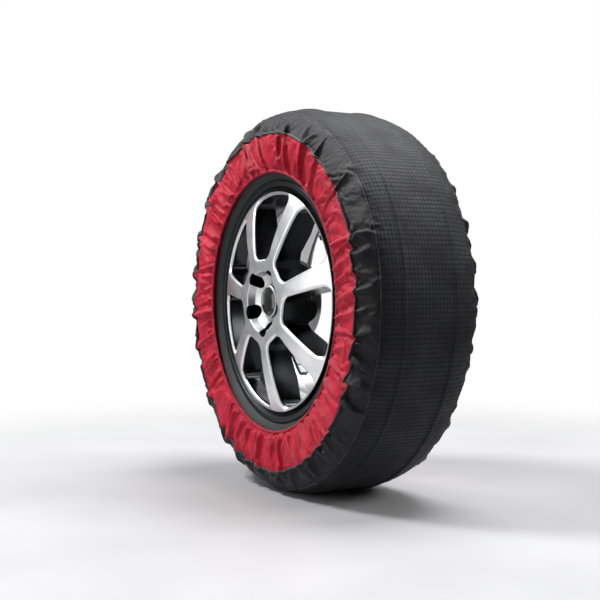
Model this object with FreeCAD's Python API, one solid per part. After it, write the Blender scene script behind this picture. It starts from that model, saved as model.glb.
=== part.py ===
import FreeCAD
import Part

import math
import os

# A passenger car wheel in a textile snow sock.
#
# Frame: origin at the wheel's centre on its turning axis, +Y along the axis towards the car,
# so the face that a passer-by sees looks along -Y, and +Z is up. All sizes are in millimetres.
# Round parts are drawn as outlines of (radius, y) pairs and turned about the Y axis.

# Tyre: 215/65 R16 on a 6.5J rim, widest at the sidewall's middle.
TYRE_RADIUS = 343.0
TYRE_HALF_WIDTH = 110.5
WIDEST_RADIUS = 277.0
CROWN_HEIGHT = TYRE_RADIUS - WIDEST_RADIUS
CROWN_POWERS = (5.0, 2.3)
BEAD_DEPTH = 77.0
BEAD_POWERS = (3.5, 2.6)
TYRE_LIP_RADIUS = 223.0
SHOULDER_RADIUS = 318.0
SHOULDER_Y = 88.0
TREAD_DEPTH = 11.0
GROOVE_WIDTH = 9.0
GROOVE_DEPTH = 7.0
GROOVE_CENTRES = (-54.0, -19.0, 19.0, 54.0)
BELT_THICKNESS = 2.6
BELT_HALF_WIDTH = 80.0
SIDEWALL_THICKNESS = 5.0
PLY_THICKNESS = 2.5
LINER_THICKNESS = 1.5
PLY_FOOT_RADIUS = 218.0
PLY_BEND_RADIUS = 305.0
BEAD_GAP = 0.25
BEAD_TOE_Y = 64.5
BEAD_INNER_CORNER = (212.5, 68.0)
BEAD_WIRE = (205.5, 211.0, 71.0, 78.0)

# Rim: 16 inch bead seat with J flanges.
BEAD_SEAT_RADIUS = 202.8
FLANGE_RADIUS = 220.3
FLANGE_INSIDE_Y = 82.55
FLANGE_LIP_Y = 95.5
LIP_EDGE_RADIUS = 209.5
RIM_WALL = 6.0
WELL_RADIUS = 183.0
WELL_START_Y = -44.0
WELL_END_Y = -12.0
SEAT_WIDTH = 20.0
INBOARD_LEDGE_RADIUS = 199.5

# Wheel centre: seven spokes, five bolt holes.
SPOKE_COUNT = 7
FIRST_SPOKE_DEG = 15.2
SPOKE_ROOT_WIDTH = 27.0
SPOKE_TIP_WIDTH = 44.0
WINDOW_ROOT_RADIUS = 80.0
WINDOW_TIP_RADIUS = 192.5
WINDOW_ROOT_ROUND = 17.0
WINDOW_TIP_ROUND = 14.0
SPOKE_EDGE_ROUND = 6.0
SPOKE_FRONT_LIMIT_Y = -88.0
# The dished face from the hub out and its back from the rim in, as (radius, y, rounding).
FACE_FRONT = [
    (78, -123.4, 300),
    (115, -118.5, 600),
    (155, -110.5, 430),
    (185, -101.5, 150),
    (199, -95.0, 0),
]
FACE_BACK = [
    (196.9, -66.0, 0),
    (180, -58.0, 8),
    (140, -62.0, 8),
    (104, -72.0, 8),
    (84, -70.0, 8),
]
HUB_FACE_Y = -40.0
HUB_FRONT_Y = -124.0
HUB_RIM_RADIUS = 74.0
HUB_BORE_RADIUS = 28.55
HUB_BORE_END_Y = -72.0
BOLT_COUNT = 5
BOLT_CIRCLE_RADIUS = 50.0
FIRST_BOLT_DEG = 59.0
BOLT_HOLE_RADIUS = 7.5
BOLT_POCKET_RADIUS = 13.5
BOLT_SEAT_Y = -62.0
CUP_RADIUS = 53.0
CAP_SEAT_RADIUS = 26.0
CAP_BORE_RADIUS = 24.2
CAP_GROOVE_RADIUS = CAP_BORE_RADIUS + 1.6
BOSS_Y = -110.0
# The bores, the boss and the cup from the mounting face out, as (radius, y, rounding).
HUB_CUP = [
    (HUB_BORE_RADIUS, HUB_FACE_Y, 1),
    (HUB_BORE_RADIUS, HUB_BORE_END_Y, 1),
    (CAP_BORE_RADIUS, HUB_BORE_END_Y - 2, 1),
    (CAP_BORE_RADIUS, BOSS_Y + 18, 0.4),
    (CAP_GROOVE_RADIUS, BOSS_Y + 17, 0.4),
    (CAP_GROOVE_RADIUS, BOSS_Y + 13, 0.4),
    (CAP_BORE_RADIUS, BOSS_Y + 12, 0.4),
    (CAP_BORE_RADIUS, BOSS_Y + 4, 0.4),
    (CAP_SEAT_RADIUS, BOSS_Y + 4, 0.4),
    (CAP_SEAT_RADIUS, BOSS_Y, 0.8),
    (CAP_SEAT_RADIUS + 3.5, BOSS_Y, 1),
    (CAP_SEAT_RADIUS + 4.5, BOSS_Y + 8, 1.5),
    (CUP_RADIUS - 5, BOSS_Y - 1, 2),
    (CUP_RADIUS + 2, HUB_FRONT_Y, 2.5),
]
HUB_BACK = [
    (HUB_RIM_RADIUS, HUB_FACE_Y - 4, 6),
    (HUB_RIM_RADIUS - 2, HUB_FACE_Y, 2),
]

# Centre cap: a domed shell, its rim and its snap legs, as (radius, y, rounding).
CAP_EDGE_RADIUS = CAP_SEAT_RADIUS - 0.3
CAP_LEG_RADIUS = CAP_BORE_RADIUS - 0.5
CAP_LEG_INSIDE = CAP_BORE_RADIUS - 3.0
CAP_LEG_END_Y = BOSS_Y + 15.5
CAP_RIM_Y = BOSS_Y + 3.9
CAP_INSIDE_Y = BOSS_Y + 2.7
CAP_SHELL = [
    (0, BOSS_Y - 3.5, 0),
    (9, BOSS_Y - 3.0, 12),
    (18, BOSS_Y - 1.6, 10),
    (CAP_EDGE_RADIUS, BOSS_Y + 0.6, 0.8),
    (CAP_EDGE_RADIUS, CAP_RIM_Y, 0.3),
    (CAP_LEG_RADIUS, CAP_RIM_Y, 0),
    (CAP_LEG_RADIUS, CAP_LEG_END_Y, 0.3),
    (CAP_LEG_INSIDE, CAP_LEG_END_Y, 0.3),
    (CAP_LEG_INSIDE, CAP_INSIDE_Y, 1),
    (0, CAP_INSIDE_Y, 0),
]
CAP_SLOT_PAIRS = 3
CAP_SLOT_WIDTH = 5.0
CAP_SLOT_START_Y = BOSS_Y + 7
CAP_SLOT_DEPTH = 12.0
CLIP_RING_RADIUS = CAP_BORE_RADIUS - 4.4
CLIP_WIRE_RADIUS = 1.2
CLIP_RING_Y = BOSS_Y + 12.5
CLIP_GAP = 8.0

# Snow sock: woven tread panel, shoulder bands, gathered side panels and elastic hems.
SOCK_GAP = 0.5
TREAD_PANEL_THICKNESS = 4.5
BAND_THICKNESS = 3.5
INNER_SIDE_THICKNESS = 5.5
PANEL_EDGE_Y = 91.0
SEAM_RADIUS = 301.0
HEM_RADIUS = 235.0
HEM_SECTION_RADIUS = 4.0
HEM_GAP = 0.4
CORD_GAP = 0.3
ELASTIC_RADIUS = 2.0
PIPING_RADIUS = 2.2
TREAD_SEAM_RADIUS = 1.6
FLAT_SINK = 2.5
SOCK_RADIUS = TYRE_RADIUS + SOCK_GAP + TREAD_PANEL_THICKNESS
STANDING_HEIGHT = SOCK_RADIUS - FLAT_SINK

# Valve and balance weights.
VALVE_DEG = FIRST_SPOKE_DEG + 180.0 / SPOKE_COUNT
VALVE_RADIUS = 191.1
VALVE_Y = -55.3
VALVE_TILT_DEG = -43.1
VALVE_HOLE_RADIUS = 5.75
# Round steps and bores of the valve as (radius, low, high) along its own axis.
VALVE_FLANGE = (9.5, -9.2, -3.2)
VALVE_NECK = (VALVE_HOLE_RADIUS - 0.15, -3.3, 3.6)
VALVE_ROOT = (7.6, 5.9, 14.5, 3.5)  # low radius, high radius, length, foot
VALVE_RUBBER_BORE = (3.3, -12, 20)
VALVE_TUBE = [(3.2, -8.5, 18.4), (3.85, 18.4, 29)]
VALVE_AIR_WAY = (1.8, -12, 14)
VALVE_CORE_SEAT = (2.6, 13.9, 30)
VALVE_CORE = (2.5, 20, 28)
VALVE_SEAL = (2.1, 18.75, 19.9)
VALVE_CAP = [(5.2, 18.8, 30.6), (4.4, 30.6, 31.4)]
VALVE_CAP_BORE = (3.95, 18, 29.6)
VALVE_WASHER = (3.8, 29.15, 29.55)
VALVE_WASHER_BORE = (1.6, 29, 30)
PIN_RADIUS = 0.8
PIN_FOOT = 18
PIN_TOP = 28.4
PIN_COLLAR = (2.3, 18, 18.7)
PIN_CLEARANCE = 0.05
SPRING_RADIUS = 2.05
SPRING_FOOT = 14.2
SPRING_PITCH = 0.8
SPRING_LENGTH = 3.4
SPRING_WIRE_HALF_SIDE = 0.18
WEIGHT_COUNT = 5
WEIGHT_SIZE = (20.0, 18.0, 4.0)
WEIGHT_FIRST_DEG = 200.0
WEIGHT_PITCH_DEG = 6.4
WEIGHT_Y = 30.0

SAMPLES_PER_CURVE = 9
SLOPE_STEP = 0.05
INBOARD = 1.0
OUTBOARD = -1.0
AXIS = FreeCAD.Vector(0, 1, 0)
ORIGIN = FreeCAD.Vector(0, 0, 0)
FULL_TURN = 360.0


def at(radius, y):
    """A point of an outline: the radius from the axis and the place along it."""
    return FreeCAD.Vector(radius, y, 0)


def turned(wire):
    """The solid swept by a closed outline about the wheel's axis."""
    solid = Part.Face(wire).revolve(ORIGIN, AXIS, FULL_TURN)
    if solid.ShapeType != "Solid":
        solid = solid.Solids[0]
    if solid.Volume < 0:
        solid.reverse()
    return solid


def rounded_outline(corners):
    """A closed outline of straight lines, with each (radius, y, round) corner rounded by an arc."""
    edges = []
    starts = []
    ends = []
    count = len(corners)
    for i, (radius, y, size) in enumerate(corners):
        corner = at(radius, y)
        before = at(*corners[i - 1][:2]) - corner
        after = at(*corners[(i + 1) % count][:2]) - corner
        before.normalize()
        after.normalize()
        if size <= 0:
            starts.append(corner)
            ends.append(corner)
            edges.append(None)
            continue
        half = before.getAngle(after) / 2
        reach = size / math.tan(half)
        middle = before + after
        middle.normalize()
        bulge = corner + middle * (size / math.sin(half) - size)
        starts.append(corner + before * reach)
        ends.append(corner + after * reach)
        edges.append(Part.Arc(starts[-1], bulge, ends[-1]).toShape())
    wire = []
    for i in range(count):
        if edges[i] is not None:
            wire.append(edges[i])
        if (ends[i] - starts[(i + 1) % count]).Length > 1e-6:
            wire.append(Part.LineSegment(ends[i], starts[(i + 1) % count]).toShape())
    return Part.Wire(wire)


def smooth(points):
    """A smooth edge through points."""
    curve = Part.BSplineCurve()
    curve.interpolate(points)
    return curve.toShape()


def strip_outline(first, second):
    """A closed outline between two smooth lines that run the same way."""
    edges = [smooth(first), Part.LineSegment(first[-1], second[-1]).toShape()]
    edges.append(smooth(list(reversed(second))))
    edges.append(Part.LineSegment(second[0], first[0]).toShape())
    return Part.Wire(edges)


def ring(radius, y, section_radius):
    """A round cord lying in a circle about the axis."""
    return Part.makeTorus(radius, section_radius, FreeCAD.Vector(0, y, 0), AXIS)


def band(inner_radius, outer_radius, y_low, y_high):
    """A plain ring with a rectangular section."""
    corners = [(inner_radius, y_low, 0), (outer_radius, y_low, 0)]
    corners += [(outer_radius, y_high, 0), (inner_radius, y_high, 0)]
    return turned(rounded_outline(corners))


def crown_radius(y):
    """The tyre's outer radius at a place across the tread."""
    across, up = CROWN_POWERS
    share = min(1.0, abs(y) / TYRE_HALF_WIDTH)
    return WIDEST_RADIUS + CROWN_HEIGHT * (1 - share**across) ** (1 / up)


def wall_y(radius):
    """How far the tyre's wall stands from its centre plane at a radius."""
    if radius >= WIDEST_RADIUS:
        across, up = CROWN_POWERS
        share = (radius - WIDEST_RADIUS) / CROWN_HEIGHT
    else:
        across, up = BEAD_POWERS
        share = (WIDEST_RADIUS - radius) / BEAD_DEPTH
    return TYRE_HALF_WIDTH * (1 - share**up) ** (1 / across)


def spread(low, high, count=SAMPLES_PER_CURVE):
    """Evenly spaced values from low to high."""
    return [low + (high - low) * i / (count - 1) for i in range(count)]


def tread_line(offset, y_low, y_high):
    """The tyre's tread surface between two places, moved out by an offset."""
    points = []
    for y in spread(y_low, y_high, 2 * SAMPLES_PER_CURVE + 1):
        slope = (crown_radius(y + SLOPE_STEP) - crown_radius(y - SLOPE_STEP)) / (2 * SLOPE_STEP)
        length = math.hypot(1, slope)
        points.append(at(crown_radius(y) + offset / length, y - offset * slope / length))
    return points


def wall_line(offset, radius_low, radius_high, side):
    """The tyre's wall between two radii on one side, moved out by an offset."""
    points = []
    for radius in spread(radius_low, radius_high):
        slope = (wall_y(radius + SLOPE_STEP) - wall_y(radius - SLOPE_STEP)) / (2 * SLOPE_STEP)
        length = math.hypot(1, slope)
        y = wall_y(radius) + offset / length
        points.append(at(radius - offset * slope / length, side * y))
    return points


def carcass_line(depth):
    """The line that many layers of the tyre follow from bead to bead, a depth inside the walls."""
    under_belts = TREAD_DEPTH + BELT_THICKNESS + depth - SIDEWALL_THICKNESS
    outboard = wall_line(-depth, PLY_FOOT_RADIUS, PLY_BEND_RADIUS, OUTBOARD)
    inboard = wall_line(-depth, PLY_FOOT_RADIUS, PLY_BEND_RADIUS, INBOARD)
    crown = tread_line(-under_belts, -BELT_HALF_WIDTH, BELT_HALF_WIDTH)
    return outboard + crown + list(reversed(inboard))


def tyre_tread():
    """The rubber tread and shoulders, with four grooves round it."""
    top = crown_radius(SHOULDER_Y) - 1
    outer = wall_line(0, SHOULDER_RADIUS, top, OUTBOARD)
    outer += tread_line(0, -SHOULDER_Y, SHOULDER_Y)
    outer += reversed(wall_line(0, SHOULDER_RADIUS, top, INBOARD))
    foot = WIDEST_RADIUS
    inner = wall_line(-SIDEWALL_THICKNESS, foot, SHOULDER_RADIUS, OUTBOARD)[-1:]
    inner += tread_line(-TREAD_DEPTH, -BELT_HALF_WIDTH, BELT_HALF_WIDTH)
    inner += wall_line(-SIDEWALL_THICKNESS, foot, SHOULDER_RADIUS, INBOARD)[-1:]
    tread = turned(strip_outline(outer, inner))
    for centre in GROOVE_CENTRES:
        floor = crown_radius(centre) - GROOVE_DEPTH
        low, high = centre - GROOVE_WIDTH / 2, centre + GROOVE_WIDTH / 2
        tread = tread.cut(band(floor, TYRE_RADIUS + 1, low, high))
    return tread


def sidewall_foot(side):
    """The corners of a bead from the tyre's lip over the flange and heel round to its inside."""
    heel_y = FLANGE_INSIDE_Y - BEAD_GAP
    foot = BEAD_SEAT_RADIUS + BEAD_GAP
    over = FLANGE_RADIUS + BEAD_GAP
    corners = [
        (over, FLANGE_INSIDE_Y + 11),
        (over, FLANGE_INSIDE_Y + 7 - BEAD_GAP),
        (FLANGE_RADIUS - 7, heel_y),
        (foot + 1.2, heel_y),
        (foot, heel_y - 1.2),
        (foot, BEAD_TOE_Y),
        BEAD_INNER_CORNER,
    ]
    return [at(radius, side * y) for radius, y in corners]


def tyre_sidewall(side):
    """The flexing rubber wall and bead on one side, moulded round the bead wire."""
    outer = wall_line(0, TYRE_LIP_RADIUS, SHOULDER_RADIUS - 0.2, side)
    inner = wall_line(-SIDEWALL_THICKNESS, PLY_FOOT_RADIUS, SHOULDER_RADIUS - 0.2, side)
    corners = [outer[0]] + sidewall_foot(side) + [inner[0]]
    edges = [Part.LineSegment(a, b).toShape() for a, b in zip(corners, corners[1:])]
    edges.append(smooth(inner))
    edges.append(Part.LineSegment(inner[-1], outer[-1]).toShape())
    edges.append(smooth(list(reversed(outer))))
    return turned(Part.Wire(edges)).cut(tyre_bead_wire(side))


def tyre_steel_belts():
    """The wound steel belt package under the tread."""
    half = BELT_HALF_WIDTH - 4
    outer = tread_line(-TREAD_DEPTH - 0.2, -half, half)
    inner = tread_line(-TREAD_DEPTH - BELT_THICKNESS + 0.2, -half, half)
    return turned(strip_outline(outer, inner))


def tyre_layer(depth, thickness):
    """A thin layer of the carcass that runs from bead to bead."""
    return turned(strip_outline(carcass_line(depth + 0.2), carcass_line(depth + thickness)))


def tyre_bead_wire(side):
    """The steel wire ring that holds a bead on its seat."""
    inner, outer, near, far = BEAD_WIRE
    return band(inner, outer, *sorted((side * near, side * far)))


def wheel_rim():
    """The rim: two flanges, two bead seats, a drop centre and an inboard ledge."""
    seat_end = FLANGE_INSIDE_Y - SEAT_WIDTH
    under = BEAD_SEAT_RADIUS - RIM_WALL
    ledge = INBOARD_LEDGE_RADIUS
    corners = []
    for side, near in ((OUTBOARD, seat_end), (INBOARD, seat_end)):
        flange = [
            (BEAD_SEAT_RADIUS, side * near, 2),
            (BEAD_SEAT_RADIUS, side * FLANGE_INSIDE_Y, 1),
            (FLANGE_RADIUS - 7, side * FLANGE_INSIDE_Y, 1),
            (FLANGE_RADIUS, side * (FLANGE_INSIDE_Y + 7), 2.5),
            (FLANGE_RADIUS, side * FLANGE_LIP_Y, 2.5),
            (LIP_EDGE_RADIUS, side * FLANGE_LIP_Y, 2.5),
            (LIP_EDGE_RADIUS - 2, side * (FLANGE_LIP_Y - 5), 2.5),
            (under, side * (FLANGE_INSIDE_Y - 4), 5),
        ]
        corners.append(flange)
    outboard = list(reversed(corners[0]))
    well = [
        (WELL_RADIUS, WELL_START_Y, 7),
        (WELL_RADIUS, WELL_END_Y, 7),
        (ledge, WELL_END_Y + 16, 6),
        (ledge, seat_end - 6, 2),
    ]
    inside = [
        (ledge - RIM_WALL, WELL_END_Y + 18, 6),
        (WELL_RADIUS - RIM_WALL, WELL_END_Y + 3, 7),
        (WELL_RADIUS - RIM_WALL, WELL_START_Y - 3, 7),
        (under, -seat_end - 2, 5),
    ]
    return turned(rounded_outline(outboard + well + corners[1] + inside))


def polar(radius, degrees, y=0.0):
    """A point in the wheel's face, by its angle from +X towards +Z."""
    angle = math.radians(degrees)
    return FreeCAD.Vector(radius * math.cos(angle), y, radius * math.sin(angle))


def spoke_edge_point(degrees, radius, offset):
    """A point at a radius on a spoke's edge, an offset to one side of its middle line."""
    along = math.sqrt(radius**2 - offset**2)
    angle = math.radians(degrees)
    x = along * math.cos(angle) - offset * math.sin(angle)
    z = along * math.sin(angle) + offset * math.cos(angle)
    return FreeCAD.Vector(x, 0, z)


def window_cutter(first_deg):
    """The prism of open space between a spoke and the next one."""
    next_deg = first_deg + FULL_TURN / SPOKE_COUNT
    root, tip = SPOKE_ROOT_WIDTH / 2, SPOKE_TIP_WIDTH / 2
    corners = [
        spoke_edge_point(first_deg, WINDOW_ROOT_RADIUS, root),
        spoke_edge_point(first_deg, WINDOW_TIP_RADIUS, tip),
        spoke_edge_point(next_deg, WINDOW_TIP_RADIUS, -tip),
        spoke_edge_point(next_deg, WINDOW_ROOT_RADIUS, -root),
    ]
    middle = polar(WINDOW_TIP_RADIUS, (first_deg + next_deg) / 2)
    edges = [
        Part.LineSegment(corners[0], corners[1]).toShape(),
        Part.Arc(corners[1], middle, corners[2]).toShape(),
        Part.LineSegment(corners[2], corners[3]).toShape(),
        Part.LineSegment(corners[3], corners[0]).toShape(),
    ]
    face = Part.Face(Part.Wire(edges))
    face.translate(FreeCAD.Vector(0, HUB_FRONT_Y - 10, 0))
    prism = face.extrude(FreeCAD.Vector(0, -HUB_FRONT_Y, 0))
    along = [e for e in prism.Edges if abs(e.tangentAt(e.FirstParameter).y) > 0.99]
    halfway = (WINDOW_ROOT_RADIUS + WINDOW_TIP_RADIUS) / 2
    roots = [e for e in along if math.hypot(e.CenterOfMass.x, e.CenterOfMass.z) < halfway]
    tips = [e for e in along if math.hypot(e.CenterOfMass.x, e.CenterOfMass.z) > halfway]
    return prism.makeFillet(WINDOW_TIP_ROUND, tips).makeFillet(WINDOW_ROOT_ROUND, roots)


def centre_outline():
    """The section of the wheel's centre: a dished face with a hub and a cup for the cap."""
    return rounded_outline(HUB_CUP + FACE_FRONT + FACE_BACK + HUB_BACK)


def bolt_pocket(degrees):
    """The deep pocket, tapered seat and through hole of one wheel bolt."""
    hole, pocket = BOLT_HOLE_RADIUS, BOLT_POCKET_RADIUS
    seat_depth = pocket - hole
    outline = [
        (0, HUB_FRONT_Y - 5, 0),
        (pocket, HUB_FRONT_Y - 5, 0),
        (pocket, BOLT_SEAT_Y, 0),
        (hole, BOLT_SEAT_Y + seat_depth, 0),
        (hole, HUB_FACE_Y + 5, 0),
        (0, HUB_FACE_Y + 5, 0),
    ]
    cutter = turned(rounded_outline(outline))
    cutter.translate(polar(BOLT_CIRCLE_RADIUS, degrees))
    return cutter


def window_front_edges(centre):
    """The edges where the windows cut the dished front face."""
    found = []
    for edge in centre.Edges:
        low, high = edge.FirstParameter, edge.LastParameter
        points = [edge.valueAt(low + (high - low) * share) for share in (0, 0.5, 1)]
        radii = [math.hypot(point.x, point.z) for point in points]
        across = abs(edge.tangentAt((low + high) / 2).y) < 0.9
        round_the_axis = max(radii) - min(radii) < 0.01 and abs(points[0].y - points[1].y) < 0.01
        on_spokes = HUB_RIM_RADIUS + 2 < radii[1] < WINDOW_TIP_RADIUS + 0.1
        if across and on_spokes and points[1].y < SPOKE_FRONT_LIMIT_Y and not round_the_axis:
            found.append(edge)
    return found


def wheel_spoke_centre():
    """The hub and the seven spokes, which are cast in one with the rim."""
    centre = turned(centre_outline())
    for i in range(SPOKE_COUNT):
        centre = centre.cut(window_cutter(FIRST_SPOKE_DEG + FULL_TURN * i / SPOKE_COUNT))
    centre = centre.makeFillet(SPOKE_EDGE_ROUND, window_front_edges(centre))
    for i in range(BOLT_COUNT):
        centre = centre.cut(bolt_pocket(FIRST_BOLT_DEG + FULL_TURN * i / BOLT_COUNT))
    return centre.cut(wheel_rim())


def sock_strip(outer_points, inner_points):
    """One band of the sock between two lines over the tyre."""
    return turned(strip_outline(outer_points, inner_points))


def sock_tread_panel():
    """The woven panel round the tread, pressed flat where the wheel stands."""
    outer = tread_line(SOCK_GAP + TREAD_PANEL_THICKNESS, -PANEL_EDGE_Y, PANEL_EDGE_Y)
    inner = tread_line(SOCK_GAP, -PANEL_EDGE_Y, PANEL_EDGE_Y)
    panel = sock_strip(outer, inner)
    size = 2 * SOCK_RADIUS
    corner = FreeCAD.Vector(-size / 2, -size / 2, -STANDING_HEIGHT - size)
    return panel.cut(Part.makeBox(size, size, size, corner))


def sock_shoulder_band(side):
    """The plain band over the tyre's shoulder, from the side seam to the tread panel."""
    low, high = SEAM_RADIUS, crown_radius(PANEL_EDGE_Y)
    outer = wall_line(SOCK_GAP + BAND_THICKNESS, low, high, side)
    return sock_strip(outer, wall_line(SOCK_GAP, low, high, side))


def sock_side_panel(side, thickness):
    """The gathered ring of cloth from the elastic hem out to the side seam."""
    low = HEM_RADIUS + HEM_SECTION_RADIUS + HEM_GAP + thickness / 2
    outer = wall_line(SOCK_GAP + thickness, low, SEAM_RADIUS, side)
    return sock_strip(outer, wall_line(SOCK_GAP, low, SEAM_RADIUS, side))


def hem_y(side):
    """The place along the axis of a hem's middle, just clear of the tyre's wall."""
    return side * (wall_y(HEM_RADIUS) + SOCK_GAP + HEM_SECTION_RADIUS + CORD_GAP)


def sock_hem(side):
    """The rolled hem, a tube of cloth round its elastic cord."""
    hem = ring(HEM_RADIUS, hem_y(side), HEM_SECTION_RADIUS)
    return hem.cut(ring(HEM_RADIUS, hem_y(side), ELASTIC_RADIUS))


def sock_piping(side, thickness):
    """The corded seam between a side panel and its shoulder band."""
    lift = SOCK_GAP + thickness + PIPING_RADIUS + CORD_GAP
    return ring(SEAM_RADIUS, side * (wall_y(SEAM_RADIUS) + lift), PIPING_RADIUS)


def sock_tread_seam(side):
    """The overlocked seam along one edge of the tread panel."""
    lift = SOCK_GAP + TREAD_PANEL_THICKNESS + TREAD_SEAM_RADIUS
    edge = tread_line(lift, -PANEL_EDGE_Y, PANEL_EDGE_Y)[-1]
    return ring(edge.x, side * edge.y, TREAD_SEAM_RADIUS)


def centre_cap():
    """The domed cap with a ring of snap legs that hook behind the hub's inner lip."""
    cap = turned(rounded_outline(CAP_SHELL))
    corner = FreeCAD.Vector(-CAP_SLOT_WIDTH / 2, CAP_SLOT_START_Y, -CAP_SEAT_RADIUS)
    slot = Part.makeBox(CAP_SLOT_WIDTH, CAP_SLOT_DEPTH, 2 * CAP_SEAT_RADIUS, corner)
    for i in range(CAP_SLOT_PAIRS):
        turn = slot.copy()
        turn.rotate(ORIGIN, AXIS, 180.0 * i / CAP_SLOT_PAIRS)
        cap = cap.cut(turn)
    return cap


def centre_cap_clip_ring():
    """The sprung wire ring inside the cap's legs, with a gap so that it can close."""
    wire = ring(CLIP_RING_RADIUS, CLIP_RING_Y, CLIP_WIRE_RADIUS)
    corner = FreeCAD.Vector(-CLIP_GAP / 2, CLIP_RING_Y - CLIP_GAP / 2, -CAP_BORE_RADIUS)
    return wire.cut(Part.makeBox(CLIP_GAP, CLIP_GAP, CLIP_GAP, corner))


def on_valve(shape):
    """Put a shape drawn about +Z, with its base at the origin, onto the valve's place in the rim."""
    shape = shape.copy()
    shape.rotate(ORIGIN, FreeCAD.Vector(1, 0, 0), 90)
    shape.rotate(ORIGIN, FreeCAD.Vector(0, 0, 1), VALVE_TILT_DEG)
    shape.rotate(ORIGIN, AXIS, -VALVE_DEG)
    shape.translate(polar(VALVE_RADIUS, VALVE_DEG, VALVE_Y))
    return shape


def stacked(sections):
    """A body turned about +Z from (outer radius, bottom, top) steps."""
    body = None
    for radius, bottom, top in sections:
        step = Part.makeCylinder(radius, top - bottom, FreeCAD.Vector(0, 0, bottom))
        body = step if body is None else body.fuse(step)
    return body.removeSplitter()


def hole(radius, bottom, top):
    """A round cutter along +Z."""
    return Part.makeCylinder(radius, top - bottom, FreeCAD.Vector(0, 0, bottom))


def valve_parts():
    """The snap-in valve, drawn about +Z from the inside of the rim out to the cap."""
    root_low, root_high, root_length, root_foot = VALVE_ROOT
    root = Part.makeCone(root_low, root_high, root_length, FreeCAD.Vector(0, 0, root_foot))
    rubber = stacked([VALVE_FLANGE, VALVE_NECK]).fuse(root).removeSplitter()
    rubber = rubber.cut(hole(*VALVE_RUBBER_BORE))
    tube = stacked(VALVE_TUBE).cut(hole(*VALVE_AIR_WAY)).cut(hole(*VALVE_CORE_SEAT))
    pin_way = PIN_RADIUS + PIN_CLEARANCE
    core = stacked([VALVE_CORE]).cut(hole(pin_way, VALVE_CORE[1] - 1, VALVE_CORE[2] + 1))
    pin = stacked([(PIN_RADIUS, PIN_FOOT, PIN_TOP), PIN_COLLAR])
    seal = stacked([VALVE_SEAL]).cut(hole(PIN_RADIUS + 0.02, VALVE_SEAL[1] - 1, VALVE_SEAL[2] + 1))
    coil = Part.makeHelix(SPRING_PITCH, SPRING_LENGTH, SPRING_RADIUS)
    coil.translate(FreeCAD.Vector(0, 0, SPRING_FOOT))
    start = FreeCAD.Vector(SPRING_RADIUS, 0, SPRING_FOOT)
    half = SPRING_WIRE_HALF_SIDE
    corners = [(-half, -half), (half, -half), (half, half), (-half, half), (-half, -half)]
    section = Part.makePolygon([start + FreeCAD.Vector(x, 0, z) for x, z in corners])
    spring = Part.Wire(coil.Edges).makePipeShell([section], True, True)
    cap = stacked(VALVE_CAP).cut(hole(*VALVE_CAP_BORE))
    washer = stacked([VALVE_WASHER]).cut(hole(*VALVE_WASHER_BORE))
    drawn = {
        "valve_stem_rubber": rubber,
        "valve_stem_tube": tube,
        "valve_core_body": core,
        "valve_core_pin": pin,
        "valve_core_seal": seal,
        "valve_core_spring": spring,
        "valve_cap": cap,
        "valve_cap_washer": washer,
    }
    return {name: on_valve(shape) for name, shape in drawn.items()}


def balance_weights():
    """A row of adhesive weights on the inside of the rim's ledge."""
    length, width, height = WEIGHT_SIZE
    face_radius = INBOARD_LEDGE_RADIUS - RIM_WALL
    weights = []
    for i in range(WEIGHT_COUNT):
        weight = Part.makeBox(height, width, length, FreeCAD.Vector(0, 0, -length / 2))
        upright = [e for e in weight.Edges if e.CenterOfMass.x < height / 4]
        weight = weight.makeFillet(1.2, upright)
        sagitta = face_radius - math.sqrt(face_radius**2 - (length / 2) ** 2)
        weight.translate(FreeCAD.Vector(face_radius - sagitta - height - 0.05, WEIGHT_Y, 0))
        weight.rotate(ORIGIN, AXIS, -(WEIGHT_FIRST_DEG + i * WEIGHT_PITCH_DEG))
        weights.append(weight)
    return Part.makeCompound(weights)


def parts():
    """Every piece of the wheel and the sock by its name."""
    made = {
        "tyre_tread": tyre_tread(),
        "tyre_steel_belts": tyre_steel_belts(),
        "tyre_carcass_ply": tyre_layer(SIDEWALL_THICKNESS, PLY_THICKNESS),
        "tyre_inner_liner": tyre_layer(SIDEWALL_THICKNESS + PLY_THICKNESS, LINER_THICKNESS),
        "wheel_rim": wheel_rim().cut(on_valve(hole(VALVE_HOLE_RADIUS, -20, 20))),
        "wheel_spoke_centre": wheel_spoke_centre(),
        "balance_weights": balance_weights(),
        "centre_cap": centre_cap(),
        "centre_cap_clip_ring": centre_cap_clip_ring(),
        "sock_tread_panel": sock_tread_panel(),
    }
    made.update(valve_parts())
    for word, side, thickness in (
        ("outer", OUTBOARD, BAND_THICKNESS),
        ("inner", INBOARD, INNER_SIDE_THICKNESS),
    ):
        made["tyre_" + word + "_sidewall"] = tyre_sidewall(side)
        made["tyre_" + word + "_bead_wire"] = tyre_bead_wire(side)
        made["sock_" + word + "_shoulder_band"] = sock_shoulder_band(side)
        made["sock_" + word + "_side_panel"] = sock_side_panel(side, thickness)
        made["sock_" + word + "_hem"] = sock_hem(side)
        made["sock_" + word + "_elastic_cord"] = ring(HEM_RADIUS, hem_y(side), ELASTIC_RADIUS - 0.05)
        made["sock_" + word + "_seam_piping"] = sock_piping(side, thickness)
        made["sock_" + word + "_tread_seam"] = sock_tread_seam(side)
    return made


os.makedirs("parts", exist_ok=True)
for name, shape in parts().items():
    print(name, len(shape.Solids), "solids", round(shape.Volume / 1000, 1), "cm3", shape.isValid())
    shape.exportStep("parts/" + name + ".step")
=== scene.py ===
import math

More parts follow.
